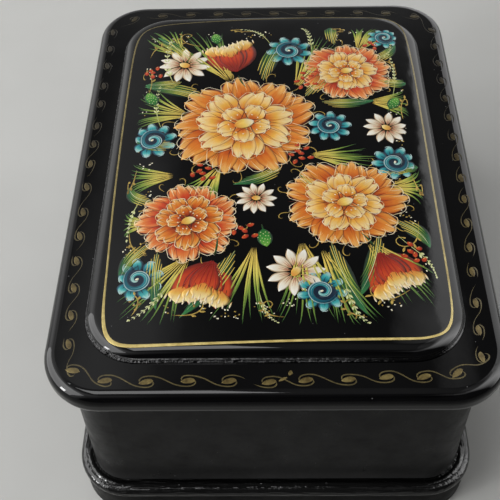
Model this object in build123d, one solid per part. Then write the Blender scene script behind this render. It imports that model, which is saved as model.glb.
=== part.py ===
# A lidded casket of lacquered papier mache: a wound wall with a lipped inner sleeve,
# a stepped foot, an overhanging lid with a raised picture panel, and a strip hinge.
# Millimetres, +Z up. The origin is the middle of the footprint, on the surface below.
# The front is towards -Y, and the hinge is at the back, towards +Y.
import os
from build123d import *

os.makedirs("parts", exist_ok=True)

# Body wall, measured over its outside
body_width = 82.0
body_length = 115.0
body_corner_radius = 8.0
wall_thickness = 3.4
wall_height = 35.0

# Inner sleeve, whose top edge stands above the rim as a lip that locates the lid
sleeve_thickness = 1.4
lip_height = 2.0
lip_edge_radius = 0.5

# Foot of the box: a plinth frame with a rounded bead on top of it
plinth_height = 7.8
plinth_projection = 2.9
plinth_edge_radius = 0.4
bead_height = 2.2
bead_projection = 3.3
bead_top_radius = 1.5
bead_bottom_radius = 0.5

# Bottom board and how far the wall and the board stay off the surface
wall_foot_gap = 1.0
bottom_thickness = 3.0
bottom_recess = 1.0

# Lid plate
lid_overhang = 4.0
lid_thickness = 5.8
lid_edge_radius = 2.4
lid_seat_gap = 0.15
pocket_clearance = 0.4
pocket_headroom = 0.4

# Raised panel on the lid
panel_side_margin = 7.3
panel_end_margin = 8.0
panel_height = 3.0
panel_corner_radius = 11.8
panel_edge_radius = 2.3

# Strip hinge, let into the rim and the lid
hinge_length = 56.0
knuckle_count = 7
knuckle_radius = 1.25
knuckle_gap = 0.15
barrel_clearance = 0.25
groove_clearance = 0.35
leaf_thickness = 0.7
leaf_width = 2.6
leaf_clearance = 0.05

# Hinge pin
pin_radius = 0.6
pin_clearance = 0.05
pin_overhang = 0.25
pin_end_radius = 0.2

# Countersunk brads that hold each leaf
brads_per_leaf = 6
brad_end_inset = 4.5
brad_length = 3.2
brad_shank_radius = 0.4
brad_head_radius = 0.75
brad_head_height = 0.4
brad_clearance = 0.04

# Shares that keep a rounding within the wall that carries it
round_share = 0.46
half_share = 0.5

# Levels
ledge_z = plinth_height + bead_height
rim_z = ledge_z + wall_height
bottom_z = wall_foot_gap + bottom_recess
floor_z = bottom_z + bottom_thickness
lid_z = rim_z + lid_seat_gap
lid_top_z = lid_z + lid_thickness
panel_top_z = lid_top_z + panel_height

# Hinge axis, level with the seam and just clear of the back wall
axis_y = body_length / 2 + barrel_clearance + knuckle_radius
axis_z = (rim_z + lid_z) / 2


def rounded_block(grow, low_z, high_z):
    """A block on the wall's outline, grown outwards by grow, between two levels."""
    outline = RectangleRounded(
        body_width + 2 * grow, body_length + 2 * grow, body_corner_radius + grow
    )
    return Pos(0, 0, low_z) * extrude(outline, amount=high_z - low_z)


def round_level(part, level, radius, room):
    """Round the edges of a part that lie all at one level, within half its room."""
    edges = part.edges().filter_by_position(Axis.Z, level, level)
    return fillet(edges, min(radius, room * round_share))


def cylinder_along_x(radius, start_x, end_x):
    """A cylinder on the hinge axis from one X to another."""
    middle = (start_x + end_x) / 2
    return Pos(middle, axis_y, axis_z) * Rot(0, 90, 0) * Cylinder(radius, end_x - start_x)


def block_between(low, high):
    """A plain block from its low corner to its high corner."""
    size = [high[i] - low[i] for i in range(3)]
    middle = [(high[i] + low[i]) / 2 for i in range(3)]
    return Pos(*middle) * Box(*size)


def leaf_block(side, clearance, outer_y):
    """The flat of one leaf, as a block that a clearance makes larger for its mortise."""
    inner_y = body_length / 2 - leaf_width - clearance
    half = hinge_length / 2 + clearance
    if side == "body":
        low_z = rim_z - leaf_thickness - clearance
        high_z = rim_z
    else:
        low_z = lid_z
        high_z = lid_z + leaf_thickness + clearance
    return block_between((-half, inner_y, low_z), (half, outer_y, high_z))


def brad(side, grow):
    """One brad with its head at the seam, along Z, pointing into what it holds."""
    length = brad_length + grow
    shank = Pos(0, 0, -length / 2) * Cylinder(brad_shank_radius + grow, length)
    head = Pos(0, 0, -brad_head_height / 2) * Cone(
        brad_shank_radius + grow, brad_head_radius + grow, brad_head_height
    )
    whole = shank + head
    if side == "body":
        return Pos(0, 0, rim_z) * whole
    return Pos(0, 0, lid_z) * Rot(180, 0, 0) * whole


def brads(side, grow=0.0):
    """The row of brads of one leaf, as a list of solids."""
    span = hinge_length - 2 * brad_end_inset
    row_y = body_length / 2 - leaf_width / 2
    places = [span * (i / (brads_per_leaf - 1) - half_share) for i in range(brads_per_leaf)]
    return [Pos(x, row_y, 0) * brad(side, grow) for x in places]


def leaf(side):
    """One hinge leaf: its flat, its knuckles with their necks, bored and pinned."""
    pitch = hinge_length / knuckle_count
    plate = leaf_block(side, 0.0, body_length / 2)
    neck_low = rim_z - leaf_thickness if side == "body" else lid_z
    first = 0 if side == "body" else 1
    for i in range(first, knuckle_count, 2):
        start_x = -hinge_length / 2 + i * pitch + (knuckle_gap / 2 if i > 0 else 0)
        end_x = -hinge_length / 2 + (i + 1) * pitch
        end_x -= knuckle_gap / 2 if i < knuckle_count - 1 else 0
        neck = block_between(
            (start_x, body_length / 2 - leaf_thickness, neck_low),
            (end_x, axis_y, neck_low + leaf_thickness),
        )
        plate += neck + cylinder_along_x(knuckle_radius, start_x, end_x)
    plate -= cylinder_along_x(pin_radius + pin_clearance, -hinge_length, hinge_length)
    for hole in brads(side, brad_clearance):
        plate -= hole
    return plate


def body_wall():
    """The wound wall, with the mortise for the hinge leaf in its back rim."""
    wall = rounded_block(0, wall_foot_gap, rim_z)
    wall -= rounded_block(-wall_thickness, 0, rim_z + lip_height)
    wall -= leaf_block("body", leaf_clearance, body_length)
    for hole in brads("body", brad_clearance):
        wall -= hole
    return wall


def inner_sleeve():
    """The sleeve glued inside the wall; its upper edge is the lip."""
    top = rim_z + lip_height
    sleeve = rounded_block(-wall_thickness, floor_z, top)
    sleeve -= rounded_block(-wall_thickness - sleeve_thickness, 0, top + lip_height)
    return round_level(sleeve, top, lip_edge_radius, sleeve_thickness)


def bottom_board():
    """The board that closes the wall below, a little above the surface."""
    return rounded_block(-wall_thickness, bottom_z, floor_z)


def plinth_frame():
    """The frame that the box stands on, glued round the foot of the wall."""
    frame = rounded_block(plinth_projection, 0, plinth_height)
    frame = round_level(frame, plinth_height, plinth_edge_radius, plinth_projection)
    frame = round_level(frame, 0, plinth_edge_radius, plinth_projection)
    return frame - rounded_block(0, -plinth_height, 2 * plinth_height)


def base_bead():
    """The rounded bead on the plinth frame, which makes the ledge below the wall."""
    bead = rounded_block(bead_projection, plinth_height, ledge_z)
    bead = round_level(bead, ledge_z, bead_top_radius, bead_height + bead_projection)
    bead = round_level(bead, plinth_height, bead_bottom_radius, bead_height / 2)
    return bead - rounded_block(0, 0, 2 * ledge_z)


def lid_plate():
    """The overhanging lid, with a pocket for the lip and cuts for the hinge."""
    plate = rounded_block(lid_overhang, lid_z, lid_top_z)
    plate = round_level(plate, lid_top_z, lid_edge_radius, lid_thickness)
    plate = round_level(plate, lid_z, lid_edge_radius, lid_thickness)
    plate -= rounded_block(
        pocket_clearance - wall_thickness, lid_z - lip_height, rim_z + lip_height + pocket_headroom
    )
    plate -= leaf_block("lid", leaf_clearance, axis_y)
    half = hinge_length / 2 + pin_overhang + groove_clearance
    plate -= cylinder_along_x(knuckle_radius + groove_clearance, -half, half)
    for hole in brads("lid", brad_clearance):
        plate -= hole
    return plate


def lid_panel():
    """The raised panel glued on the lid, which carries the picture."""
    width = body_width + 2 * (lid_overhang - panel_side_margin)
    length = body_length + 2 * (lid_overhang - panel_end_margin)
    outline = RectangleRounded(width, length, panel_corner_radius)
    panel = Pos(0, 0, lid_top_z) * extrude(outline, amount=panel_height)
    return round_level(panel, panel_top_z, panel_edge_radius, 2 * panel_height)


def hinge_pin():
    """The wire that both leaves turn on, with eased ends."""
    half = hinge_length / 2 + pin_overhang
    pin = cylinder_along_x(pin_radius, -half, half)
    return fillet(pin.edges().filter_by(GeomType.CIRCLE), min(pin_end_radius, pin_radius * round_share))


def save(name, shape):
    """Write one sub-part under its node's name."""
    shape.label = name
    export_step(shape, f"parts/{name}.step")


save("body_wall", body_wall())
save("inner_sleeve", inner_sleeve())
save("bottom_board", bottom_board())
save("plinth_frame", plinth_frame())
save("base_bead", base_bead())
save("lid_plate", lid_plate())
save("lid_panel", lid_panel())
save("body_hinge_leaf", leaf("body"))
save("lid_hinge_leaf", leaf("lid"))
save("hinge_pin", hinge_pin())
save("body_leaf_brads", Compound(children=brads("body")))
save("lid_leaf_brads", Compound(children=brads("lid")))
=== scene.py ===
import cmath
import math
import random

import bmesh
import bpy
from mathutils import Matrix, Vector


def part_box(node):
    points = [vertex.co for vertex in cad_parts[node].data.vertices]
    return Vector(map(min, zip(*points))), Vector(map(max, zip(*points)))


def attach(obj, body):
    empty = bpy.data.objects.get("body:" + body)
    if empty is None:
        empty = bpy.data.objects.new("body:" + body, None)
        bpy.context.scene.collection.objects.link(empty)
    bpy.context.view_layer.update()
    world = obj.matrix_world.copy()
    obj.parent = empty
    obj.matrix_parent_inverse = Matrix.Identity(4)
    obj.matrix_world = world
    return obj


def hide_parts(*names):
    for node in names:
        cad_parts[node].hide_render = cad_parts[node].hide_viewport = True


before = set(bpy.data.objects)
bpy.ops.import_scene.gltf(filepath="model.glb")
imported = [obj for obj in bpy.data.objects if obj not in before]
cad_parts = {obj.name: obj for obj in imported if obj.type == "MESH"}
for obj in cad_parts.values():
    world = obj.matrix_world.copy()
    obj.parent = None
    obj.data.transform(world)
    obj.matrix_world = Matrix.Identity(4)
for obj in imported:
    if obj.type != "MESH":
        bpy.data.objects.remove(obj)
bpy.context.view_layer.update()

MM = 0.001

# The photograph's view, in millimetres and degrees, solved from the outlines of lid, wall and foot
PICTURE_PX = 500
FOCAL_PX = 900
LOOK_DOWN = 50.23
TURN = -1.91
ROLL = -1.94
TARGET_X, TARGET_Y = -5.01, -23.08
DISTANCE = 192.8

lid_low, lid_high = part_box("lid_plate")
panel_low, panel_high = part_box("lid_panel")
TARGET = Vector((TARGET_X * MM, TARGET_Y * MM, (lid_low.z + lid_high.z) / 2))

# Raised panel, in millimetres: its roundings, and the room that the paint on it needs
PANEL_CORNER = 11.8
PANEL_ROLL = 2.4
PAINT_ROOM = 0.19
FOOT_FILLET = 0.4

# Corner radius of the wall, in millimetres
WALL_CORNER = 8.0

# How far the panel's hand-rubbed top has fallen from its middle, at these distances across and along
CROWN_ACROSS, AT_ACROSS = 0.6, 35
CROWN_ALONG, AT_ALONG = 0.2, 50

# Paint, in millimetres: a stroke's greatest height, how thick it is drawn where it gets half of that,
# and one coat's lift. While the strokes are still curves, their coats lie COAT_GAP apart
STROKE_HEIGHT = 0.03
STROKE_EASE = 0.25
COAT_LIFT = 0.01
COAT_GAP = 9.0

# Picture, in millimetres: its middle in x, where strokes start to be eased back, and the room for that
PICTURE_MIDDLE = 0.3
PICTURE_HALF_WIDTH = 27.5
PICTURE_HALF_LENGTH = 42.0
EASE_ROOM = 5.0

# Depths in the lacquer's face, in millimetres
WAVE_DEPTH = 0.045
RIPPLE_DEPTH = 0.0022
GRAIN_DEPTH = 0.004
RIDGE_DEPTH = 0.2
DIMPLE_DEPTH = 0.16
WELT_HEIGHT = 0.45
CRINKLE_DEPTH = 1.4

# Ledge: how close its ridges lie, and how fast they change along it, per metre. From the wall, in
# millimetres: the span of the groove's shading, and the welt's middle and half width
RIDGES_PER_MM = 1.5
RIDGE_WANDER = 210
GROOVE_SHADE_SPAN = 4.0
WELT_MIDDLE = 1.2
WELT_REACH = 0.7

# Height over which the pooled lacquer thins out, and the pocket's room round the lip, in millimetres
POOL_HEIGHT = 1.5
POCKET_ROOM = 0.7

# The lid's margin leans inwards from this distance off its middle, in millimetres, and this steeply
MARGIN_START = 34
MARGIN_LEAN = 3.4

# Size of a dust speck, as a share of its cell
SPECK_SIZE = 0.028

# Painted light above the ledge, against its shade: how much lighter the wall is, and the fade up to the lid
PAINTED_LIGHT_ABOVE_LEDGE = 3.3
PAINTED_LIGHT_FADING = ((0.22, 1.0), (0.26, 0.72), (0.3, 0.48), (0.34, 0.35), (0.5, 0.29), (1.0, 0.29))

# Every material's colour until its nodes give it one
PLAIN_GREY = (0.5, 0.5, 0.5, 1)

chance = random.Random(11)


# Small helpers

def tint(red, green, blue):
    """A colour given as on a screen, 0 to 255, as the linear values that nodes take."""
    linear = []
    for value in (red, green, blue):
        share = value / 255
        linear.append(((share + 0.055) / 1.055) ** 2.4 if value > 10 else share / 12.92)
    return tuple(linear) + (1,)


def deselect():
    for o in bpy.context.selected_objects:
        o.select_set(False)


def take(obj):
    """Make one object the only selected and the active one."""
    deselect()
    obj.select_set(True)
    bpy.context.view_layer.objects.active = obj


def crown(x, y):
    """How far the panel's top lies below its middle at a place, all in millimetres."""
    return CROWN_ACROSS * (x / AT_ACROSS) ** 2 + CROWN_ALONG * (y / AT_ALONG) ** 2


# Materials

def feed(node, given):
    """Fill a node's inputs, by name or number: each with a plain value, or from another node's output."""
    for name, value in given.items():
        if isinstance(value, (int, float, tuple)):
            node.inputs[name].default_value = value
        else:
            node.id_data.links.new(value, node.inputs[name])


def add_node(kind, given, tree=None, **settings):
    """A shader node with its settings made and its inputs filled, in the tree of what feeds it."""
    for value in given.values():
        if isinstance(value, bpy.types.NodeSocket):
            tree = value.id_data
    node = tree.nodes.new("ShaderNode" + kind)
    for name, value in settings.items():
        setattr(node, name, value)
    feed(node, given)
    return node


def new_material(name, roughness, metallic=0.0):
    """A material and its Principled shader."""
    material = bpy.data.materials.new(name)
    material.use_nodes = True
    shader = material.node_tree.nodes["Principled BSDF"]
    feed(shader, {"Base Color": PLAIN_GREY, "Roughness": roughness, "Metallic": metallic})
    return material, shader


def object_place(shader):
    """The place on the object that is shaded, in metres."""
    return add_node("TexCoord", {}, shader.id_data).outputs["Object"]


def split(vector):
    """The X, Y and Z of a vector."""
    return add_node("SeparateXYZ", {0: vector}).outputs


def combine(x, y, z):
    """The vector of an X, Y and Z."""
    return add_node("CombineXYZ", {"X": x, "Y": y, "Z": z}).outputs[0]


def noise(vector, scale, detail, roughness=0.5):
    given = {"Vector": vector, "Scale": scale, "Detail": detail, "Roughness": roughness}
    return add_node("TexNoise", given).outputs["Fac"]


def ramp(value, stops):
    """A colour ramp; stops are (position, colour)."""
    node = add_node("ValToRGB", {"Fac": value})
    marks = node.color_ramp.elements
    for mark, (position, colour) in zip(marks, (stops[0], stops[-1])):
        mark.position = position
        mark.color = colour
    for position, colour in stops[1:-1]:
        marks.new(position).color = colour
    return node.outputs["Color"]


def grey_ramp(value, *stops):
    """A ramp of greys; stops are (position, brightness)."""
    return ramp(value, [(position, (grey, grey, grey, 1)) for position, grey in stops])


def maths(kind, *values):
    """One sum, such as ADD or SUBTRACT, on plain values or outputs."""
    return add_node("Math", dict(enumerate(values)), operation=kind).outputs[0]


def times(first, second):
    return maths("MULTIPLY", first, second)


def scaled(value, factor, extra):
    """A value times a factor, with an extra amount added."""
    return maths("MULTIPLY_ADD", value, factor, extra)


def blend_colours(share, first, second, kind="MIX"):
    """Blend a share of the second colour into the first."""
    given = {0: share, 6: first, 7: second}
    return add_node("Mix", given, data_type="RGBA", blend_type=kind).outputs[2]


def bump(height, depth, normal=None):
    """A bump whose full depth is given in metres."""
    given = {"Strength": 1.0, "Distance": depth, "Height": height}
    if normal:
        given["Normal"] = normal
    return add_node("Bump", given).outputs["Normal"]


def polish(place, normal=None):
    """The hand-polished lacquer's slow waves and fine ripple."""
    waves = bump(noise(place, 95, 1.0), WAVE_DEPTH * MM, normal)
    return bump(noise(place, 620, 2.0), RIPPLE_DEPTH * MM, waves)


def past_straight(spot):
    """How far a place lies past the wall's straight sides, along X and along Y, in metres."""
    wall_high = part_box("body_wall")[1]
    distances = []
    for axis, reach in (("X", wall_high.x), ("Y", wall_high.y)):
        distances.append(maths("SUBTRACT", maths("ABSOLUTE", spot[axis]), reach - WALL_CORNER * MM))
    return distances


def from_wall(spot):
    """How far a place lies outside the wall's rounded outline, in millimetres."""
    squares = []
    for past in past_straight(spot):
        outside = maths("MAXIMUM", past, 0.0)
        squares.append(times(outside, outside))
    return scaled(maths("SQRT", maths("ADD", *squares)), 1 / MM, -WALL_CORNER)


def round_corner(spot):
    """From 0 on the ledge's straight sides to 1 round its corners."""
    shares = []
    for past in past_straight(spot):
        share = times(past, 1 / (WALL_CORNER * MM))
        shares.append(grey_ramp(share, (0.0, 0.0), (0.3, 1.0)))
    return times(*shares)


def ridged(place):
    """Unrubbed lacquer on the ledge: ridges brushed along it, and a dimpled welt at its corners."""
    spot = split(place)
    away = from_wall(spot)
    corner = round_corner(spot)
    down = scaled(spot["Z"], -1 / MM, away)
    wander = [times(spot[axis], RIDGE_WANDER) for axis in "XY"]
    streaks = combine(times(down, RIDGES_PER_MM), *wander)
    ridges = times(noise(streaks, 1.0, 1.0), scaled(corner, -0.8, 1.0))
    off = scaled(away, 1 / WELT_REACH, -WELT_MIDDLE / WELT_REACH)
    welt = maths("SUBTRACT", 1.0, times(off, off))
    welt = times(maths("MAXIMUM", welt, 0.0), corner)
    face = bump(welt, WELT_HEIGHT * MM, bump(ridges, RIDGE_DEPTH * MM))
    dimples = times(noise(place, 1100, 1.0), scaled(corner, 0.7, 0.3))
    return bump(dimples, DIMPLE_DEPTH * MM, face)


def pooled(place):
    """The panel's polish, and the crinkles where lacquer pooled round its foot, least on the right."""
    spot = split(place)
    above = times(maths("SUBTRACT", spot["Z"], panel_low.z), 1 / (POOL_HEIGHT * MM))
    strength = grey_ramp(above, (0.0, 1.0), (0.4, 0.8), (0.65, 0.0))
    rightwards = times(spot["X"], 1 / panel_high.x)
    strength = times(strength, grey_ramp(rightwards, (0.35, 1.0), (0.75, 0.1)))
    crinkles = times(noise(place, 620, 3.0, 0.7), strength)
    return polish(place, bump(crinkles, CRINKLE_DEPTH * MM))


def dished(place):
    """The lid's polish; on the two long sides its margin leans a little inwards, more towards the edge."""
    out = maths("ABSOLUTE", split(place)["X"])
    out = maths("MAXIMUM", maths("SUBTRACT", out, MARGIN_START * MM), 0.0)
    return polish(place, bump(times(out, out), MARGIN_LEAN))


def lacquer(name, colour, roughness, face=polish, gloss=0.5):
    """Lacquer with a faint cloudiness, dust specks and uneven gloss; face makes its normal."""
    material, shader = new_material(name, roughness)
    place = object_place(shader)
    lighter = tuple(c * 1.6 + 0.0008 for c in colour[:3]) + (1,)
    base = ramp(noise(place, 60, 4.0), [(0.35, colour), (0.75, lighter)])
    cells = add_node("TexVoronoi", {"Scale": 240, "Vector": place}).outputs["Distance"]
    speck = maths("LESS_THAN", cells, SPECK_SIZE)
    dust = tuple(c * 0.6 + 0.12 for c in colour[:3]) + (1,)
    uneven = noise(place, 140, 5.0, 0.7)
    feed(shader, {
        "Base Color": blend_colours(speck, base, dust),
        "Roughness": grey_ramp(uneven, (0.3, roughness * 0.7), (0.75, roughness * 1.7)),
        "Specular IOR Level": gloss,
        "Normal": face(place),
    })
    return material, shader


def recolour(shader, share, colour, kind):
    """Blend a colour into the one that already feeds a shader."""
    base = shader.inputs["Base Color"].links[0].from_socket
    feed(shader, {"Base Color": blend_colours(share, base, colour, kind)})


def paint_finish(shader, place, crowned=True):
    """Clear lacquer over the paint: its own even, polished face, whatever the strokes do below it."""
    facing = (0.5, 0.5, 1, 1)
    if crowned:
        spot = split(place)
        across = scaled(spot["X"], CROWN_ACROSS / AT_ACROSS ** 2 / MM, 0.5)
        along = scaled(spot["Y"], CROWN_ALONG / AT_ALONG ** 2 / MM, 0.5)
        facing = combine(across, along, 1.0)
    level = add_node("NormalMap", {"Color": facing}, shader.id_data, space="OBJECT")
    feed(shader, {
        "Coat Weight": 1.0,
        "Coat Roughness": 0.035,
        "Specular IOR Level": 0.15,
        "Coat Normal": polish(place, level.outputs["Normal"]),
    })


def tempera(name, ring, stops, edge, side, streaks):
    """Paint whose colour runs along the stroke, with its own edge and far side, and brush streaks.

    ring is how many sides the stroke has, which places its middle on the texture.
    """
    material, shader = new_material(name, 0.4)
    place = object_place(shader)
    parts = split(add_node("UVMap", {}, shader.id_data, uv_map="stroke").outputs["UV"])
    along = parts["X"]
    across = maths("COSINE", scaled(parts["Y"], math.tau, math.tau / ring))
    wander = times(split(place)["X"], 170)
    bristles = combine(times(along, 1.6), times(across, 4.5), wander)
    hair = noise(bristles, 1.0, 2.0, 0.6)
    shift = times(maths("SUBTRACT", hair, 0.5), streaks * 2.2)
    colour = ramp(maths("ADD", along, shift), stops)
    if side:
        share = grey_ramp(maths("ADD", across, shift), (0.25, 0.0), (0.85, 1.0))
        colour = blend_colours(share, colour, side)
    if edge:
        rim = grey_ramp(maths("ABSOLUTE", across), (0.62, 0.0), (0.95, 1.0))
        colour = blend_colours(rim, colour, edge)
    shade = grey_ramp(noise(place, 420, 3.0), (0.3, 0.85), (0.7, 1.0))
    feed(shader, {"Base Color": blend_colours(1.0, colour, shade, "MULTIPLY")})
    paint_finish(shader, place)
    return material


def gold_powder(name, bright, dull, fading, crowned):
    """Powdered gold in varnish: half metallic, rubbed thin in places, fading from the front to the back."""
    material, shader = new_material(name, 0.42, 0.45)
    place = object_place(shader)
    colour = ramp(noise(place, 520, 4.0, 0.7), [(0.32, dull), (0.62, bright)])
    if fading:
        back = scaled(split(place)["Y"], 1 / (lid_high.y - lid_low.y), 0.5)
        colour = blend_colours(1.0, colour, grey_ramp(back, *fading), "MULTIPLY")
    grains = bump(noise(place, 9000, 2.0), GRAIN_DEPTH * MM)
    feed(shader, {"Base Color": colour, "Normal": grains})
    paint_finish(shader, place, crowned)
    return material


def brass_metal(name, colour, dull, grain):
    """Thin brass with fine drawing lines along X and a light tarnish."""
    material, shader = new_material(name, 0.3, 1.0)
    place = object_place(shader)
    drawn = add_node("Mapping", {"Scale": (60, grain, grain), "Vector": place}).outputs[0]
    tarnish = noise(place, 260, 5.0, 0.65)
    feed(shader, {
        "Base Color": ramp(tarnish, [(0.4, colour), (0.7, dull)]),
        "Roughness": grey_ramp(tarnish, (0.3, 0.22), (0.75, 0.5)),
        "Normal": bump(noise(drawn, 1.0, 3.0), GRAIN_DEPTH * MM),
    })
    return material


def wall_lacquer(colour):
    """The wall's satin lacquer, painted lighter just above the ledge to lift the shade that the ledge casts
    there.
    """
    material, shader = lacquer("satin_lacquer", colour, 0.33, gloss=0.13)
    height = times(split(object_place(shader))["Z"], 1 / lid_low.z)
    # Painted light: the wall is made lighter just above the ledge, where the ledge shades it, fading upwards
    recolour(shader, 1.0, (PAINTED_LIGHT_ABOVE_LEDGE, PAINTED_LIGHT_ABOVE_LEDGE, PAINTED_LIGHT_ABOVE_LEDGE, 1), "MULTIPLY")
    recolour(shader, 1.0, grey_ramp(height, *PAINTED_LIGHT_FADING), "MULTIPLY")
    return material


def groove_lacquer(colour):
    """The ledge's ridged lacquer, with painted shade that turns it black in the groove along the wall."""
    material, shader = lacquer("ledge_lacquer", colour, 0.05, ridged)
    share = times(from_wall(split(object_place(shader))), 1 / GROOVE_SHADE_SPAN)
    # Painted shade: the ledge darkens towards the wall, black in the groove
    recolour(shader, 1.0, grey_ramp(share, (0.22, 0.05), (0.34, 1.0)), "MULTIPLY")
    return material


def lid_lacquer(black_colour, red_colour):
    """The lid plate's lacquer: black all over, scarlet in the pocket that takes the lip."""
    material, shader = lacquer("lid_lacquer", black_colour, 0.04, dished)
    spot = split(object_place(shader))
    sleeve_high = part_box("inner_sleeve")[1]
    room = POCKET_ROOM * MM
    pocket = maths("LESS_THAN", spot["Z"], sleeve_high.z + room)
    for axis, reach in (("X", sleeve_high.x), ("Y", sleeve_high.y)):
        pocket = times(pocket, maths("LESS_THAN", maths("ABSOLUTE", spot[axis]), reach + room))
    recolour(shader, pocket, red_colour, "MIX")
    return material


# Brush strokes

paints = {}

# The paints that lie on the lid itself; the others lie on its raised panel
LID_PAINTS = ("gold_scroll_drops", "gold_scroll_lines")


def open_paint(name, material, slot, fine):
    """Start a curve that gathers all the strokes of one paint; fine strokes have more sides."""
    data = bpy.data.curves.new(name, "CURVE")
    data.dimensions = "3D"
    data.twist_mode = "Z_UP"
    data.bevel_depth = 1.0
    data.bevel_resolution = fine
    paints[name] = (data, material, slot)


def open_gold(name, fine, bright, dull, fading=(), crowned=True):
    """Start a gold paint; its colours are as on a screen."""
    material = gold_powder(name + "_paint", tint(*bright), tint(*dull), fading, crowned)
    open_paint(name, material, "gold_paint", fine)


def open_tempera(name, fine, *stops, edge=(), side=(), streaks=0.16):
    """Start a tempera paint; stops are (place along the stroke, red, green, blue), as on a screen."""
    stops = [(place, tint(*colour)) for place, *colour in stops]
    edge, side = (colour and tint(*colour) for colour in (edge, side))
    material = tempera(name + "_paint", 4 + 2 * fine, stops, edge, side, streaks)
    open_paint(name, material, "tempera", fine)


def within_frame(p):
    """Ease a point of the picture back from the frame line."""
    eased = []
    for value, free in ((p.real - PICTURE_MIDDLE, PICTURE_HALF_WIDTH), (p.imag, PICTURE_HALF_LENGTH)):
        over = abs(value) - free
        if over > 0:
            value = math.copysign(free + EASE_ROOM * math.tanh(over / EASE_ROOM), value)
        eased.append(value)
    return complex(eased[0] + PICTURE_MIDDLE, eased[1])


def stroke(paint, points, widths, coat, steps=3):
    """Lay one stroke: its points are complex numbers in millimetres, and its widths run along it."""
    data = paints[paint][0]
    if paint not in LID_PAINTS + ("gold_frame_line",):
        points = [within_frame(p) for p in points]
    spline = data.splines.new("NURBS")
    spline.points.add(len(points) - 1)
    for i, (p, point) in enumerate(zip(points, spline.points)):
        at = i / (len(points) - 1) * (len(widths) - 1)
        low = min(int(at), len(widths) - 2)
        width = widths[low] + (widths[low + 1] - widths[low]) * (at - low)
        point.co = (p.real, p.imag, coat * COAT_GAP, 1)
        point.radius = width / 2
    spline.order_u = min(4, len(points))
    spline.use_endpoint_u = True
    spline.resolution_u = steps


def close_paint(name, level):
    """Make a paint's strokes one mesh: thin, raised a coat at a time, and closed at the tips."""
    data, material, slot = paints[name]
    piece = bpy.data.objects.new(name, data)
    bpy.context.scene.collection.objects.link(piece)
    take(piece)
    bpy.ops.object.convert(target="MESH")
    piece = bpy.context.object
    for vertex in piece.data.vertices:
        coat = round(vertex.co.z / COAT_GAP)
        proud = vertex.co.z - coat * COAT_GAP
        flat = STROKE_HEIGHT * proud / (abs(proud) + STROKE_EASE)
        fall = crown(vertex.co.x, vertex.co.y) if level > lid_high.z else 0.0
        vertex.co = (vertex.co.x * MM, vertex.co.y * MM, level + (coat * COAT_LIFT + flat - fall) * MM)
    piece.data.uv_layers[0].name = "stroke"
    bpy.ops.object.mode_set(mode="EDIT")
    bpy.ops.mesh.select_all(action="SELECT")
    bpy.ops.mesh.remove_doubles(threshold=0.0000005)
    bpy.ops.mesh.normals_make_consistent(inside=False)
    bpy.ops.object.mode_set(mode="OBJECT")
    bpy.ops.object.shade_smooth()
    piece.data.materials.clear()
    piece.data.materials.append(material)
    piece.name = name
    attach(piece, "lid")


def turned(degrees, length=1.0):
    """A step of that length in that direction, as a complex number."""
    return cmath.rect(length, math.radians(degrees))


def sweep(start, heading, length, bend, curl=0.0, count=6):
    """Points along a line that bends by bend degrees, and by curl more towards its end."""
    points = [start]
    step = length / (count - 1)
    for i in range(count - 1):
        share = (i + 0.5) / (count - 1)
        angle = heading + bend * share + curl * share ** 3
        points.append(points[-1] + turned(angle, step))
    return points


def jitter(amount):
    return chance.uniform(-amount, amount)


def dot(paint, place, size, coat):
    """A dot set down with the tip of the brush, a little longer than wide."""
    way = turned(jitter(180), size * 0.5)
    points = [place - way * 1.1, place - way * 0.7, place + way * 0.7, place + way * 1.1]
    stroke(paint, points, [0, size, size, 0], coat, 2)


# Border of the lid

# Middles of the scrolls' drops: x and y at the front, only the one that varies elsewhere
FRONT_X = (-38.4, -32.0, -24.2, -16.3, -8.6, -1.1, 5.8, 13.8, 20.9, 27.9, 34.2)
FRONT_Y = (-54.9, -57.2, -57.5, -57.3, -57.4, -57.7, -57.3, -57.2, -56.7, -56.7, -55.9)
RIGHT_Y = (
    -52.4, -46.2, -39.7, -31.8, -25.3, -18.5, -11.5, -5.1, 1.6, 8.3, 15.0, 21.8, 28.5, 35.2, 42.0, 48.8,
)
BACK_X = (38.2, 30.8, 23.4, 15.9, 8.5, 1.0, -6.5, -14.0, -21.4, -28.9, -36.4)
LEFT_Y = (49.6, 42.7, 35.8, 28.0, 21.3, 13.4, 7.2, 0.6, -6.7, -14.3, -21.2, -28.1, -35.2, -42.0, -48.9)


def border_places():
    """Where the border's scrolls sit, one after another round the lid."""
    front = [complex(x, y) for x, y in zip(FRONT_X, FRONT_Y)]
    right = [complex(39.3 + 2.8 * min(1, (y + 52.4) / 45), y) for y in RIGHT_Y]
    back = [complex(x, 57.0 - 2.2 * (abs(x) / 38.2) ** 6) for x in BACK_X]
    left = [complex(-41.7 + 1.7 * max(0, -y / 49) ** 2, y) for y in LEFT_Y]
    return front, right, back, left


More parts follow.
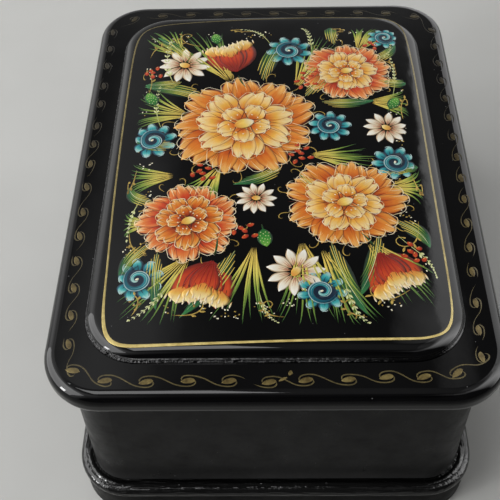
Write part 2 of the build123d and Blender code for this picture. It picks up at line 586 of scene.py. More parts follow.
def scroll(place, following, size, line_widths, broken):
    """One running scroll: a filled drop, and the thin line that runs from it under the next drop."""
    span = following - place
    along = span / abs(span)
    inward = along * 1j
    lean = turned(jitter(7))

    def spot(a, b):
        return place + along * lean * a * size + inward * b * size

    def far(a, b):
        return following + along * a * size + inward * b * size

    drop = [spot(-1.45, -0.3), spot(-0.95, -0.22), spot(0.1, 0.05), spot(1.0, 0.2), spot(1.4, 0.1)]
    stroke("gold_scroll_drops", drop, [0, 1.0 * size, 1.45 * size, 1.2 * size, 0], 1)
    high = 1.26 + jitter(0.12)
    line = [
        spot(-0.9, -0.35), spot(-1.5, 0.1), spot(-1.2, 0.95), spot(-0.1, high), spot(1.5, high),
        place + span * 0.42 + inward * 0.5 * size, place + span * 0.6 - inward * 0.45 * size,
        far(-1.7, -1.05), far(-0.1, -1.25), far(1.3, -1.0), far(1.6, -0.1), far(0.9, 0.4),
    ]
    if broken:
        cut = 6 + chance.randrange(2)
        stroke("gold_scroll_lines", line[:cut], line_widths[:cut - 1] + (0.0,), 0, 4)
        stroke("gold_scroll_lines", line[cut:], (0.0,) + line_widths[cut + 1:], 0, 4)
    else:
        stroke("gold_scroll_lines", line, line_widths, 0, 4)


# Widths along a scroll's line, in millimetres
FULL_LINE = (0.0, 0.25, 0.28, 0.3, 0.3, 0.25, 0.24, 0.28, 0.31, 0.3, 0.25, 0.0)
WORN_LINE = (0.0, 0.2, 0.24, 0.24, 0.16, 0.11, 0.11, 0.16, 0.26, 0.3, 0.26, 0.0)

# The bud in the middle of the front: x, y, direction, half length and width of each leaf
FRONT_BUD = ((1.5, -57.05, 28, 0.95, 0.8), (2.9, -55.7, 70, 0.62, 1.05))


def paint_border():
    """The scrolls, full on the front and rubbed thin elsewhere, and a bud of two leaves on the front."""
    front, right, back, left = border_places()
    ring = front + right + back + left
    for i, place in enumerate(ring):
        following = ring[(i + 1) % len(ring)]
        if i < len(front):
            scroll(place, following, 1.0, FULL_LINE, chance.random() < 0.12)
        else:
            scroll(place, following, 0.88, WORN_LINE, chance.random() < 0.5)
    for x, y, heading, reach, width in FRONT_BUD:
        place = complex(x, y)
        tip = turned(heading, reach)
        points = [place - tip, place - tip * 0.5, place + tip * 0.5, place + tip]
        stroke("gold_scroll_drops", points, [0, width, width, 0], 2)


# The frame line, drawn by hand round the picture
FRAME_POINTS = (
    (-33.85, -37.5), (-33.75, -42), (-33.25, -46.2), (-32.25, -48.8), (-30.75, -50.35), (-28.3, -51.05),
    (-24.1, -50.9), (-16, -50.7), (-4, -50.35), (12, -49.85), (26.1, -49.65), (28.5, -49.55), (30.75, -49.05),
    (32.75, -48.1), (34, -46.2), (34.7, -43.5), (35, -37.5), (34.95, -13.5), (35.05, 12.7), (35.05, 28.8),
    (34.9, 36.9), (34.6, 43), (34.1, 46.8), (32.75, 49.2), (30.95, 50.55), (28.5, 51.25), (24.1, 51.5),
    (8, 51.35), (-8, 50.75), (-23.1, 49.95), (-27.1, 49.45), (-29.75, 48.85), (-31.55, 47.9), (-33.05, 46.55),
    (-33.95, 44.35), (-34.6, 40.95), (-34.95, 32.9), (-34.95, 8.65), (-34.7, -15.4), (-34.1, -31.5),
)


def paint_frame_line():
    """The gold line round the picture, drawn by hand: full at the front, thinner elsewhere."""
    line = [complex(x + jitter(0.05), y + jitter(0.05)) for x, y in FRAME_POINTS]
    widths = [0.42, 0.52, 0.72, 0.84, 0.86, 0.82, 0.72, 0.64]
    for place in line[len(widths):]:
        width = 0.56 if place.imag < -46 else 0.37 if place.imag < 46 else 0.32
        widths.append(width + jitter(0.05))
    stroke("gold_frame_line", line + line[:1], widths + widths[:1], 1, 5)


# Flower painting

PETAL_BEND = 22

# The petals of a side-on blossom, from the back to the front: direction, width and coat
TULIP_PETALS = ((-34, 0.5, 0), (34, 0.5, 0), (-15, 0.46, 2), (16, 0.46, 2), (0, 0.5, 4))


def petal(paint, root, heading, length, width, bend, coat, steps=4):
    """One petal, a stroke that swells towards its blunt tip; returns the points along it."""
    points = sweep(root, heading, length, bend)
    stroke(paint, points, [0, width * 0.62, width, width * 1.12, width * 0.85, 0], coat, steps)
    return points


def rim_line(paint, tip, heading, width, coat, thick):
    """A short curved line across a petal's tip."""
    side = turned(heading + 90, width * 0.5)
    out = turned(heading, width * 0.33)
    points = [
        tip - side * 0.95 - out * 1.1, tip - side * 0.8 - out * 0.2, tip + out * 0.1,
        tip + side * 0.8 - out * 0.2, tip + side * 0.95 - out * 1.1,
    ]
    stroke(paint, points, [0, thick, thick * 1.5, thick, 0], coat)


def petal_ring(paint, centre, count, turn, start, reach, width, bend, coat, hairs):
    """One ring of a blossom: petals of three lobes, dark hairs from the root, light ones from the rim."""
    for k in range(count):
        heading = turn + 360 * k / count + jitter(5)
        size = reach * (1 + jitter(0.07)) - start
        root = centre + turned(heading, start)
        curve = bend + jitter(8)
        for side in (-1, 1, 0):
            foot = root + turned(heading + 90, side * width * 0.14)
            length = size * (1 - 0.09 * abs(side))
            layer = coat + k % 2 + (1 if side == 0 else 0)
            line = petal(paint, foot, heading + side * 10, length, width * 0.56, curve - side * 6, layer)
            end = heading + curve + side * 4
            tip = line[-1] - turned(end, 0.05 * width)
            rim_line("cream_strokes", tip, end, width * 0.46, coat + 5, 0.16)
        for j in range(hairs):
            spread = (j - (hairs - 1) / 2) / max(1, hairs - 1)
            foot = root + turned(heading + 90, spread * width * 0.5)
            length = size * (0.7 + jitter(0.16))
            hair = sweep(foot, heading + spread * 34, length, curve * 0.8, spread * 20, 5)
            stroke("shade_lines", hair, [0.12, 0.24, 0.18, 0.1, 0], coat + 4)
        for j in range(hairs + 1):
            spread = (j - hairs / 2) / hairs
            tip = root + turned(heading + spread * 44 + curve * 0.45, size * (0.95 - 0.3 * spread ** 2))
            length = size * (0.34 + jitter(0.12))
            hair = sweep(tip, heading + curve + 180 - spread * 16, length, -curve * 0.5, 0, 4)
            stroke("cream_strokes", hair, [0.05, 0.24, 0.14, 0], coat + 4)


def blossom(centre, size, turn, outer, inner):
    """A full blossom of three rings round a golden heart, with gold curls round it."""
    for k in range(11):
        heading = turn + 360 * k / 11 + jitter(9)
        hand = 1 if k % 2 else -1
        foot = centre + turned(heading, size * 0.9)
        curl = sweep(foot, heading - hand * 30, size * 0.34, hand * 70, hand * 190, 8)
        stroke("gold_tendrils", curl, [0.08, 0.2, 0.22, 0.16, 0], 1)
    petal_ring(outer, centre, 9, turn, size * 0.2, size, size * 0.56, PETAL_BEND, 0, 5)
    petal_ring(inner, centre, 7, turn + 15, size * 0.1, size * 0.68, size * 0.44, -PETAL_BEND, 4, 4)
    petal_ring(inner, centre, 5, turn + 40, size * 0.02, size * 0.4, size * 0.34, PETAL_BEND, 8, 2)
    heart = size * 0.14
    way = turned(20, heart)
    points = [centre - way, centre - way * 0.6, centre + way * 0.6, centre + way]
    stroke("heart_strokes", points, [0, heart * 1.7, heart * 1.8, 0], 14, 5)
    for k in range(14):
        place = centre + turned(turn + 360 * k / 14 + jitter(6), size * (0.21 + jitter(0.02)))
        dot("light_dots", place, 0.4, 15)


def daisy(centre, size, turn):
    """A small cream blossom with thin red accents and a golden heart."""
    for k in range(11):
        heading = turn + 360 * k / 11 + jitter(4)
        root = centre + turned(heading, size * 0.18)
        petal("cream_petals", root, heading, size * 0.82, size * 0.34, 12, k % 3)
        for side in (-4, 4):
            foot = centre + turned(heading + side, size * 0.26)
            accent = sweep(foot, heading + side, size * 0.36, 0, 0, 3)
            stroke("red_lines", accent, [0.08, 0.15, 0], 5, 2)
    dot("yellow_caps", centre, size * 0.42, 6)
    for k in range(9):
        dot("shade_lines", centre + turned(40 * k, size * 0.25), 0.26, 8)


def pod(centre, heading, size):
    """A green seed head with rows of lime dots."""
    way = turned(heading, size)
    stroke("leaf_strokes", sweep(centre - way * 1.5, heading, size * 0.9, 10), [0.3, 0.34, 0.3, 0.3], 3)
    stroke("pod_strokes", [centre - way, centre - way * 0.7, centre, centre + way * 0.7, centre + way],
           [0, size * 1.1, size * 1.5, size * 1.1, 0], 5, 5)
    for k in range(16):
        away = size * 0.82 * math.sqrt((k + 0.5) / 16)
        spot = turned(137.5 * k, away)
        dot("ear_strokes", centre + complex(spot.real, spot.imag * 0.68) * turned(heading), size * 0.11, 8)


def spiral_bud(centre, size, turn, hand):
    """A blue-green bud: rounded outer petals, a dark bed, a rolled stroke and pale outlines."""
    bend = 30 * hand
    for k in range(9):
        heading = turn + 40 * k
        root = centre + turned(heading, size * 0.35)
        line = petal("teal_strokes", root, heading, size * 0.82, size * 0.52, bend, k % 3)
        tip = line[-1] - turned(heading + bend, size * 0.05)
        rim_line("mist_strokes", tip, heading + bend, size * 0.42, 5, 0.18)
        vein = sweep(centre + turned(heading, size * 0.5), heading, size * 0.34, 20 * hand, 0, 4)
        stroke("night_strokes", vein, [0.1, 0.3, 0], 5, 2)
    dot("night_strokes", centre, size * 1.34, 6)
    rolled, outline, inline = [], [], []
    for i in range(15):
        share = i / 14
        away = size * (0.74 - 0.68 * share)
        angle = turn + hand * 600 * share
        rolled.append(centre + turned(angle, away))
        outline.append(centre + turned(angle, away + size * 0.13))
        inline.append(centre + turned(angle, away + size * 0.02))
    stroke("teal_strokes", rolled, [0.1, size * 0.24, size * 0.26, size * 0.22, size * 0.18, 0], 9)
    stroke("mist_strokes", outline[:12], [0, 0.18, 0.22, 0.2, 0], 12)
    stroke("mist_strokes", inline[3:], [0, 0.1, 0.14, 0.1, 0], 12)
    dot("light_dots", centre, size * 0.16, 14)


def tulip(root, heading, size):
    """A side-on blossom in red and orange with yellow caps and scalloped pale edges."""
    for k, (turn, width, coat) in enumerate(TULIP_PETALS):
        broad = size * width
        length = size * (1 - 0.05 * k)
        line = petal("red_strokes", root, heading + turn, length, broad, -turn * 0.9, coat)
        end = heading + turn * 0.1
        tip = line[-1]
        cap = tip - turned(end, size * 0.36)
        petal("yellow_caps", cap, end, size * 0.34, broad * 0.7, 0, coat + 3)
        for j in range(5):
            side = (j - 2) * broad * 0.2
            knob = tip + turned(end + 90, side) - turned(end, 0.5 * side ** 2 / broad + 0.1)
            scallop = sweep(knob, end + 180, size * 0.13, jitter(20), 0, 4)
            stroke("cream_strokes", scallop, [0.1, 0.62, 0.3, 0], coat + 6)
        for j in range(4):
            place = line[3] + turned(end + 90, (j - 1.5) * broad * 0.18)
            fleck = sweep(place, end + jitter(10), size * 0.1, 0, 0, 3)
            stroke("shade_lines", fleck, [0.1, 0.18, 0], coat + 6, 2)
        for side in (-1, 1):
            foot = root + turned(heading + 90, side * 0.2)
            edge = sweep(foot, heading + turn + side * 14, size * 0.8, -turn * 0.9 - side * 22)
            stroke("red_lines", edge, [0.1, 0.22, 0.3, 0.2, 0], coat + 5)
    stem = sweep(root - turned(heading, size * 0.12), heading + 180, size * 0.4, 20)
    stroke("leaf_strokes", stem, [0.3, 0.5, 0.4, 0], 4)


def leaf(root, heading, length, width, bend):
    """A long leaf: a dark bed, and light veins pulled along it."""
    line = sweep(root, heading, length, bend, 0, 7)
    stroke("leaf_strokes", line, [0, width * 0.8, width, width * 0.85, width * 0.45, 0], 0, 4)
    for side in (-1, 1):
        for j in range(3):
            foot = root + turned(heading, length * (0.04 + 0.08 * j))
            foot += turned(heading + 90, side * width * (0.1 + 0.13 * j))
            vein = sweep(foot, heading - side * 3, length * (0.84 - 0.16 * j), bend + side * 9, 0, 5)
            stroke("blade_strokes", vein, [0.12, 0.3, 0.22, 0], 4)
    stroke("ear_strokes", sweep(root, heading, length * 0.9, bend), [0.1, 0.26, 0.14, 0], 5)


def blades(root, heading, spread, length, count):
    """A spray of thin blades, yellow at the root and green at the tip."""
    for k in range(count):
        turn = spread * ((k + 0.5) / count - 0.5)
        foot = root + turned(heading + 90, turn * 0.022 + jitter(0.2))
        reach = length * (1 - 0.3 * abs(turn) / max(1, spread)) * (1 + jitter(0.16))
        blade = sweep(foot, heading + turn * 0.7, reach, turn * 0.6 + jitter(14))
        stroke("blade_strokes", blade, [0, 0.3, 0.46, 0.4, 0.22, 0], k % 3)


def ear(root, heading, length, bend):
    """A thin stem with pairs of small pale leaflets."""
    line = sweep(root, heading, length, bend, 0, 12)
    stroke("ear_strokes", line, [0.1, 0.2, 0.14, 0], 2)
    for i in range(4, 12):
        way = math.degrees(cmath.phase(line[i] - line[i - 1]))
        size = length * 0.085 * (1.25 - i / 16)
        for side in (-1, 1):
            petal("ear_strokes", line[i], way + side * 38, size, size * 0.34, -side * 18, 3, 3)
    petal("ear_strokes", line[-1], way, length * 0.07, length * 0.025, 0, 3, 3)


def tendril(root, heading, length, bend, curl):
    """A gold line that runs out and rolls up, with three leaflets on its outer side."""
    line = sweep(root, heading, length, bend, curl, 14)
    stroke("gold_tendrils", line, [0.08, 0.26, 0.3, 0.26, 0.2, 0.16], 2)
    dot("gold_tendrils", line[-1], 0.62, 3)
    for i in (4, 6, 8):
        way = (line[i] - line[i - 1]) / abs(line[i] - line[i - 1])
        out = way * 1j * (-1 if curl > 0 else 1)
        leaning = math.degrees(cmath.phase(out + way))
        petal("gold_tendrils", line[i], leaning, length * 0.11, 0.5, 20, 3, 3)


def dots(centre, count):
    """A few loose dots, more of them pale than gold."""
    for k in range(count):
        paint = "light_dots" if chance.random() < 0.6 else "gold_tendrils"
        place = centre + turned(jitter(180), 0.5 + chance.random() * 1.2)
        dot(paint, place, 0.3 + chance.random() * 0.22, 1)


def berries(centre, count):
    """A cluster of red berries, each with a light spot."""
    for k in range(count):
        place = centre + turned(137.5 * k, 1.15 * math.sqrt(k))
        dot("red_strokes", place, 1.55, 3 + k % 3)
        light = sweep(place + complex(-0.3, 0.15), 70, 0.5, -60, 0, 4)
        stroke("yellow_caps", light, [0, 0.34, 0.26, 0], 9, 2)


# Where each part of the picture sits: x, y, direction, and its sizes
BLOSSOMS = (
    (-6.5, 10.5, 17.5, 10, "orange_petals", "golden_petals"),
    (15.5, -14.5, 13.6, 35, "orange_petals", "golden_petals"),
    (-18, -19.5, 11.6, 60, "red_petals", "orange_petals"),
    (18.5, 29.5, 11.4, 0, "red_petals", "golden_petals"),
)
DAISIES = ((4.5, -33.5, 6.2, 0), (-21.5, 32.5, 6.6, 20), (26.5, 9.0, 5.4, 10), (-3.6, -13.2, 4.6, 30))
TULIPS = ((-8.5, 29.5, 104, 13), (21.5, -28.5, -66, 12.5), (-12.5, -30.5, -104, 13))
BUDS = (
    (4.5, 37.5, 5.0, 20, 1), (27.4, -2.4, 4.6, 70, -1), (-27.6, 5.5, 5.0, 10, 1),
    (9.5, -38.5, 4.4, 0, -1), (-27.6, -35, 4.8, 90, 1), (29, 43, 3.8, 0, -1), (13.5, 9.5, 4.4, 40, 1),
)
PODS = ((-29, 20, 120, 2.6), (-1.8, -24.5, -80, 2.5), (29, 17.5, 60, 2.3), (-14, 43, 100, 2.3))
LEAVES = (
    (-16, 20, 150, 17, 4.6, 28), (-2, 26, 84, 18, 4.8, -26), (8, 20, 52, 14, 4.2, 20),
    (26, 34, 32, 9, 3.6, 24), (26, 26, -20, 11, 3.6, 32), (25, -6, 26, 11, 3.8, -30),
    (26, -20, -28, 12, 4.2, -20), (12, -26, -82, 20, 4.6, 22), (-8, -28, -112, 20, 4.6, -20),
    (-26, -26, -140, 12, 3.8, 26), (-26, -14, 165, 10, 3.8, -26), (-22, 4, 186, 12, 4.2, -30),
    (16, 40, 100, 12, 3.8, -18), (-20, 34, 120, 14, 3.8, 24), (-22, 26, 196, 10, 3.6, -24),
    (22, -24, -96, 17, 4.4, -24), (6, -6, -60, 12, 3.8, 30), (2, -4, -140, 12, 3.8, -30),
    (12, 18, -10, 13, 3.8, 26), (-24, -28, -96, 15, 4.0, 18),
)
SPRAYS = (
    (-20, 14, 165, 66, 15, 15), (-10, 26, 118, 50, 22, 16), (6, 24, 66, 50, 20, 15),
    (24, 18, -4, 66, 12, 13), (26, -10, 4, 66, 11, 13), (20, -26, -56, 56, 19, 16),
    (6, -26, -84, 50, 22, 16), (-4, -27, -98, 40, 21, 13), (-18, -30, -124, 60, 18, 16),
    (-27, -20, 182, 60, 8, 12), (22, 38, 66, 60, 13, 14), (-22, -6, 186, 54, 12, 13),
    (-22, 36, 128, 60, 15, 14), (9, 0, -8, 50, 14, 12), (-12, -4, -112, 50, 12, 12),
    (10, -28, -70, 30, 22, 12),
)
EARS = (
    (-22, 22, 122, 20, -42), (10, 34, 84, 16, 24), (25, 32, 30, 12, 60), (-26, 10, 110, 14, -30),
    (26, -24, -54, 17, 30), (14, -32, -92, 16, 34), (-20, -34, -112, 14, -28), (-28, -12, 236, 13, 36),
    (0, 40, 112, 12, 30), (-3, -38, -84, 10, 30), (29, 20, 74, 14, 24),
)
TENDRILS = (
    (-18, 40, 168, 13, -60, -300), (14, 44, 20, 12, 60, 300), (-30, 22, 76, 14, 30, 280),
    (31, 12, 96, 13, -20, -300), (31, -6, -76, 13, 30, 290), (-31, -4, -96, 12, -20, -280),
    (27, -38, -140, 14, -40, -300), (-20, -44, -10, 12, 50, 300), (2, -45, 176, 10, -60, -290),
    (-31, -22, -82, 12, 30, 300), (31, -20, -96, 14, -20, -300), (-31, 36, 70, 12, -30, -300),
    (31, 28, 92, 11, 40, 280), (-4, 47, 190, 10, -30, -290), (18, -45, 170, 10, -50, -280),
    (-28, -44, 60, 9, 40, 280),
)
BERRIES = (
    (6.5, 0.5, 8), (-15.5, -5.5, 7), (8.5, 26, 8), (29, -29, 7), (-29.5, 30, 6), (-6, -22.5, 6),
    (26, 40, 5),
)


def paint_flowers():
    """The flower painting that fills the panel, laid from the back to the front."""
    for draw, places in (
        (blades, SPRAYS), (leaf, LEAVES), (ear, EARS), (tendril, TENDRILS), (tulip, TULIPS),
        (spiral_bud, BUDS), (pod, PODS), (daisy, DAISIES), (blossom, BLOSSOMS), (berries, BERRIES),
    ):
        for x, y, *sizes in places:
            draw(complex(x, y), *sizes)
    for k in range(40):
        side = chance.choice((-1, 1))
        dots(complex(side * (27 + chance.random() * 4.5), jitter(44)), 4)
    for k in range(24):
        dots(complex(jitter(26), chance.choice((-1, 1)) * (41 + chance.random() * 5)), 5)


# Raised panel

def pick(mesh, kind, test):
    """In edit mode, select only the edges or the faces that pass a test."""
    bpy.ops.mesh.select_mode(type=kind)
    bpy.ops.mesh.select_all(action="DESELECT")
    work = bmesh.from_edit_mesh(mesh)
    for element in work.edges if kind == "EDGE" else work.faces:
        if test(element):
            element.select = True
    bmesh.update_edit_mesh(mesh)


def raised_panel(material):
    """The panel glued on the lid, with its rolled edge and the lacquer that pooled round its foot."""
    flare = FOOT_FILLET * MM
    hair = 0.01 * MM
    half_x, half_y = panel_high.x - flare, panel_high.y - flare
    top = panel_high.z - PAINT_ROOM * MM
    middle = panel_low.z + flare

    def height(face):
        return face.calc_center_median().z

    deselect()
    bpy.ops.mesh.primitive_plane_add(size=2, location=(0, 0, 0))
    piece = bpy.context.object
    piece.name = "raised_panel"
    bpy.ops.object.mode_set(mode="EDIT")
    bpy.ops.mesh.select_all(action="SELECT")
    bpy.ops.transform.resize(value=(half_x, half_y, 1))
    bpy.ops.mesh.bevel(offset=PANEL_CORNER * MM - flare, segments=28, affect="VERTICES", profile=0.5)
    bpy.ops.mesh.select_all(action="SELECT")
    bpy.ops.transform.translate(value=(0, 0, middle))
    bpy.ops.mesh.extrude_region_move(TRANSFORM_OT_translate={"value": (0, 0, top - middle)})
    pick(piece.data, "EDGE", lambda edge: all(v.co.z > top - hair for v in edge.verts))
    bpy.ops.mesh.bevel(offset=PANEL_ROLL * MM, segments=16, affect="EDGES", profile=0.5)
    pick(piece.data, "FACE", lambda face: abs(face.normal.z) > 0.99 and height(face) < middle + hair)
    bpy.ops.mesh.extrude_region_move(TRANSFORM_OT_translate={"value": (0, 0, -flare)})
    bpy.ops.transform.resize(value=(panel_high.x / half_x, panel_high.y / half_y, 1))
    pick(piece.data, "EDGE", lambda edge: all(abs(v.co.z - middle) < hair for v in edge.verts))
    bpy.ops.mesh.bevel(offset=0.75 * flare, segments=6, affect="EDGES", profile=0.5)
    pick(piece.data, "FACE", lambda face: face.normal.z > 0.9999 and height(face) > top - 0.1 * hair)
    bpy.ops.mesh.inset(thickness=0.6 * MM)
    for normal, reach, count in (((1, 0, 0), half_x, 25), ((0, 1, 0), half_y, 15)):
        for k in range(1, count):
            bpy.ops.mesh.select_all(action="SELECT")
            place = [n * reach * (2 * k / count - 1) for n in normal]
            bpy.ops.mesh.bisect(plane_co=place, plane_no=normal)
    work = bmesh.from_edit_mesh(piece.data)
    for vertex in work.verts:
        share = max(0.0, (vertex.co.z - middle) / (top - middle))
        vertex.co.z -= crown(vertex.co.x / MM, vertex.co.y / MM) * share * MM
    bmesh.update_edit_mesh(piece.data)
    bpy.ops.mesh.select_all(action="SELECT")
    bpy.ops.mesh.normals_make_consistent(inside=False)
    bpy.ops.object.mode_set(mode="OBJECT")
    bpy.ops.object.shade_smooth()
    bpy.ops.object.modifier_add(type="WEIGHTED_NORMAL")
    piece.modifiers[-1].weight = 100
    bpy.ops.object.modifier_apply(modifier=piece.modifiers[-1].name)
    piece.data.materials.append(material)
    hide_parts("lid_panel")
    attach(piece, "lid")
    return top


# Stage

BOX_MIDDLE = Vector((0, 0, 0.04))
FLOOR_DARK = (0.56, 0.56, 0.54, 1)
FLOOR_LIGHT = (0.59, 0.59, 0.57, 1)
EVEN_LIGHT = (0.2, 0.2, 0.2, 1)
BACKDROP = (0.5, 0.5, 0.49, 1)

# Painted shadow: how bright the lacquer mirrors the floor, by the distance in front of the box in metres
FLOOR_SHADOW_AHEAD = ((0.055, 1.0), (0.07, 0.75), (0.1, 0.48), (0.15, 0.25), (0.3, 0.12))

# How bright the lacquer mirrors the room's ceiling and walls, by height, depth or side: stops of
# (direction, brightness); the soft ones are the near edge of the right wall
CEILING_BY_HEIGHT = ((0.87, 0.0), (0.92, 0.15), (1.0, 0.18))
BACK_BY_HEIGHT = (
    (0.0, 0.55), (0.3, 0.6), (0.53, 0.45), (0.585, 0.2), (0.625, 0.11), (0.72, 0.1), (0.8, 0.07), (1.0, 0.1),
)
BACK_BY_DEPTH = ((0.3, 0.04), (0.55, 1.0))
LEFT_BY_SIDE = (
    (0.025, 0.05), (0.058, 0.065), (0.09, 0.085), (0.122, 0.115), (0.138, 0.2), (0.17, 0.343),
    (0.22, 0.393), (0.4, 0.54), (0.55, 1.0), (0.75, 0.93), (0.85, 0.36), (1.0, 0.25),
)
LEFT_BY_HEIGHT = (
    (0.0, 0.9), (0.5, 1.0), (0.6, 0.75), (0.72, 0.75), (0.8, 1.0), (0.84, 1.0), (0.88, 0.5), (0.95, 0.15),
)
LEFT_BY_DEPTH = ((0.1, 0.03), (0.16, 0.6), (0.35, 1.4), (0.5, 1.4))
SOFT_BY_SIDE = ((0.0, 0.0), (0.02, 0.3), (0.05, 0.5), (0.075, 0.6))
SOFT_BY_HEIGHT = ((0.76, 0.0), (0.8, 1.0), (0.84, 0.8), (0.88, 0.0))
RIGHT_BY_SIDE = ((0.071, 0.0), (0.076, 1.0))
RIGHT_BY_HEIGHT = ((0.0, 0.95), (0.3, 1.0), (0.72, 1.0), (0.79, 0.85), (0.84, 0.9), (0.9, 0.1))
RIGHT_BY_DEPTH = ((0.28, 0.04), (0.4, 2.5), (0.5, 4.0), (0.6, 3.0), (0.68, 1.6))


def add_camera():
    """The camera at the photograph's place and angle."""
    down, turn, roll = (math.radians(a) for a in (LOOK_DOWN, TURN, ROLL))
    forward = Vector((math.sin(turn) * math.cos(down), math.cos(turn) * math.cos(down), -math.sin(down)))
    level = Vector((math.cos(turn), -math.sin(turn), 0))
    upright = level.cross(forward)
    right = math.cos(roll) * level + math.sin(roll) * upright
    up = right.cross(forward)
    place = TARGET - DISTANCE * MM * forward
    data = bpy.data.cameras.new("photo_camera")
    data.sensor_fit = "HORIZONTAL"
    data.lens = data.sensor_width * FOCAL_PX / PICTURE_PX
    data.clip_start = 1 * MM
    camera = bpy.data.objects.new("photo_camera", data)
    bpy.context.scene.collection.objects.link(camera)
    camera.matrix_world = Matrix.Translation(place) @ Matrix((right, up, -forward)).transposed().to_4x4()
    bpy.context.scene.camera = camera


def add_softbox(name, place, width, height, radiance, mirrored=True):
    """A soft rectangular lamp of an even brightness, turned to the box; the lacquer mirrors it or not."""
    deselect()
    bpy.ops.object.light_add(type="AREA", location=place)
    lamp = bpy.context.object
    lamp.name = name
    lamp.data.shape = "RECTANGLE"
    lamp.data.size = width
    lamp.data.size_y = height
    lamp.data.energy = radiance * math.pi * width * height
    lamp.visible_glossy = mirrored
    lamp.rotation_euler = (BOX_MIDDLE - Vector(place)).to_track_quat("-Z", "Y").to_euler()


def add_floor():
    """A plain pale floor; the lacquer mirrors it with a painted shadow in front, where the camera stands over
    it.
    """
    material, shader = new_material("pale_floor", 0.9)
    place = object_place(shader)
    pale = ramp(noise(place, 30, 2.0), [(0.3, FLOOR_DARK), (0.7, FLOOR_LIGHT)])
    # Painted shadow: in the lacquer's reflections only, the floor darkens in front of the box, where the
    # camera stands
    forward = times(split(place)["Y"], -1.0)
    mirrored = blend_colours(1.0, pale, grey_ramp(forward, *FLOOR_SHADOW_AHEAD), "MULTIPLY")
    ray = add_node("LightPath", {}, shader.id_data).outputs["Is Glossy Ray"]
    feed(shader, {"Base Color": blend_colours(ray, pale, mirrored)})
    deselect()
    bpy.ops.mesh.primitive_plane_add(size=6, location=(0, 0, 0))
    floor = bpy.context.object
    floor.name = "floor"
    floor.data.materials.append(material)


def add_room():
    """A dim room: pale walls behind and beside the box, a dark ceiling, dark in front, an even light."""
    world = bpy.data.worlds.new("studio")
    bpy.context.scene.world = world
    world.use_nodes = True
    tree = world.node_tree
    x, y, z = split(add_node("TexCoord", {}, tree).outputs["Generated"])
    leftwards = times(x, -1.0)
    depth = scaled(y, 0.5, 0.5)
    skewed = scaled(z, -0.2, x)
    glow = grey_ramp(z, *CEILING_BY_HEIGHT)
    for first, *others in (
        ((z, BACK_BY_HEIGHT), (depth, BACK_BY_DEPTH)),
        ((leftwards, LEFT_BY_SIDE), (z, LEFT_BY_HEIGHT), (depth, LEFT_BY_DEPTH)),
        ((skewed, SOFT_BY_SIDE), (z, SOFT_BY_HEIGHT)),
        ((skewed, RIGHT_BY_SIDE), (z, RIGHT_BY_HEIGHT), (depth, RIGHT_BY_DEPTH)),
    ):
        side = grey_ramp(first[0], *first[1])
        for value, stops in others:
            side = times(side, grey_ramp(value, *stops))
        glow = maths("MAXIMUM", glow, side)
    rays = add_node("LightPath", {}, tree).outputs
    light = blend_colours(rays["Is Glossy Ray"], EVEN_LIGHT, glow)
    light = blend_colours(rays["Is Camera Ray"], light, BACKDROP)
    feed(tree.nodes["Background"], {"Color": light})


# Making

add_camera()

BLACK = (0.0012, 0.0012, 0.0014, 1)
WALL_GREY = (0.0082, 0.0082, 0.0082, 1)
PLINTH_GREY = (0.0006, 0.0006, 0.0006, 1)
LEDGE_GREY = (0.0055, 0.0055, 0.0055, 1)
SCARLET = tint(178, 26, 16)
black_lacquer = lacquer("black_lacquer", BLACK, 0.03, pooled)[0]
satin_lacquer = wall_lacquer(WALL_GREY)
plinth_lacquer = lacquer("plinth_lacquer", PLINTH_GREY, 0.33, gloss=0.06)[0]
ledge_lacquer = groove_lacquer(LEDGE_GREY)
scarlet_lacquer = lacquer("scarlet_lacquer", SCARLET, 0.12)[0]
brass_sheet = brass_metal("brass_sheet", (0.62, 0.45, 0.18, 1), (0.32, 0.2, 0.07, 1), 9000)
brass_wire = brass_metal("brass_wire", (0.66, 0.5, 0.22, 1), (0.36, 0.24, 0.09, 1), 5000)
node_materials = {
    "body_wall": satin_lacquer, "plinth_frame": plinth_lacquer, "base_bead": ledge_lacquer,
    "inner_sleeve": scarlet_lacquer, "bottom_board": scarlet_lacquer,
    "lid_plate": lid_lacquer(BLACK, SCARLET), "lid_panel": black_lacquer,
    "body_hinge_leaf": brass_sheet, "lid_hinge_leaf": brass_sheet,
    "hinge_pin": brass_wire, "body_leaf_brads": brass_wire, "lid_leaf_brads": brass_wire,
}
for node, material in node_materials.items():
    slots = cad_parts[node].data.materials
    slots.clear()
    slots.append(material)

panel_top = raised_panel(black_lacquer)

# How the gold's brightness is scaled from the front to the back: (share of the lid's length, brightness)
BORDER_FADING = (
    (0.1, 1.0), (0.2, 0.8), (0.38, 0.65), (0.5, 0.5), (0.58, 0.26), (0.75, 0.13), (0.9, 0.14), (1.0, 0.4),
)
FRAME_FADING = ((0.08, 1.0), (0.2, 0.7), (0.35, 0.5), (0.5, 0.42), (0.8, 0.3), (0.93, 0.16))
open_gold("gold_scroll_drops", 2, (132, 116, 70), (78, 64, 34), BORDER_FADING, crowned=False)
open_gold("gold_scroll_lines", 2, (104, 93, 58), (70, 62, 38), BORDER_FADING, crowned=False)
open_gold("gold_frame_line", 2, (236, 214, 138), (196, 172, 100), FRAME_FADING)
open_gold("gold_tendrils", 1, (198, 168, 84), (128, 100, 40))
open_tempera(
    "orange_petals", 2, (0.0, 60, 14, 6), (0.22, 146, 46, 12), (0.5, 206, 90, 22), (0.78, 230, 134, 44),
    (1.0, 248, 198, 114), edge=(120, 38, 12), side=(238, 160, 66))
open_tempera(
    "golden_petals", 2, (0.0, 130, 44, 12), (0.3, 218, 110, 30), (0.65, 246, 186, 76), (1.0, 255, 234, 176),
    edge=(176, 78, 20), side=(252, 218, 142))
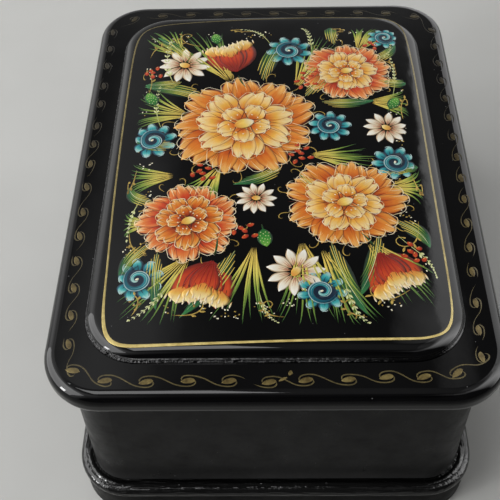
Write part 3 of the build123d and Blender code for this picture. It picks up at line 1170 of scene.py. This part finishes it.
open_tempera(
    "red_petals", 2, (0.0, 70, 10, 6), (0.28, 160, 34, 16), (0.6, 212, 74, 34), (0.85, 238, 138, 66),
    (1.0, 255, 220, 160), edge=(110, 20, 12), side=(240, 140, 74))
open_tempera(
    "cream_petals", 2, (0.0, 190, 120, 70), (0.25, 236, 214, 176), (0.7, 250, 242, 222), (1.0, 255, 253, 244),
    edge=(190, 160, 124))
open_tempera("pod_strokes", 2, (0.0, 26, 90, 36), (0.5, 58, 142, 50), (1.0, 120, 180, 70), edge=(16, 60, 30))
open_tempera("heart_strokes", 2, (0.0, 214, 120, 30), (0.5, 252, 214, 104), (1.0, 255, 250, 225))
open_tempera("shade_lines", 1, (0.0, 52, 14, 6), (1.0, 112, 40, 14))
open_tempera(
    "cream_strokes", 1, (0.0, 255, 246, 222), (0.6, 254, 224, 166), (1.0, 240, 170, 90), streaks=0.08)
open_tempera(
    "leaf_strokes", 2, (0.0, 30, 44, 14), (0.4, 34, 82, 34), (0.8, 26, 92, 60), (1.0, 60, 130, 70),
    edge=(12, 34, 18))
open_tempera(
    "blade_strokes", 1, (0.0, 232, 196, 92), (0.3, 216, 204, 96), (0.62, 134, 160, 62), (1.0, 52, 104, 48))
open_tempera("ear_strokes", 1, (0.0, 190, 196, 120), (0.5, 222, 226, 160), (1.0, 240, 240, 196), streaks=0.08)
open_tempera(
    "teal_strokes", 1, (0.0, 10, 62, 84), (0.35, 22, 122, 134), (0.7, 70, 176, 176), (1.0, 200, 238, 226),
    edge=(12, 56, 78))
open_tempera("night_strokes", 2, (0.0, 8, 22, 40), (1.0, 16, 44, 66))
open_tempera("mist_strokes", 1, (0.0, 150, 190, 196), (1.0, 206, 226, 222))
open_tempera("red_strokes", 2, (0.0, 96, 16, 10), (0.4, 196, 62, 30), (1.0, 222, 96, 44), edge=(120, 26, 14))
open_tempera("red_lines", 1, (0.0, 150, 26, 18), (1.0, 206, 60, 34))
open_tempera("yellow_caps", 2, (0.0, 226, 130, 50), (0.5, 240, 190, 90), (1.0, 255, 236, 176))
open_tempera("light_dots", 1, (0.0, 250, 240, 200), (1.0, 255, 250, 230))

paint_border()
paint_frame_line()
paint_flowers()
for paint in paints:
    close_paint(paint, lid_high.z if paint in LID_PAINTS else panel_top)

add_floor()
add_room()
add_softbox("window_left", (-0.84, -0.1, 0.5), 1.3, 0.9, 2.55)
add_softbox("ceiling_glow", (-0.35, -0.1, 0.95), 0.8, 0.8, 0.25, mirrored=False)
add_softbox("back_glow", (0.2, 0.9, 0.5), 1.2, 0.8, 0.75, mirrored=False)
add_softbox("lamp_left", (-0.8, -0.42, 0.27), 0.12, 0.26, 18.0)
add_softbox("ceiling_strip", (-0.17, -0.04, 0.95), 0.4, 0.3, 3.3)
bpy.context.scene.view_settings.view_transform = "Standard"
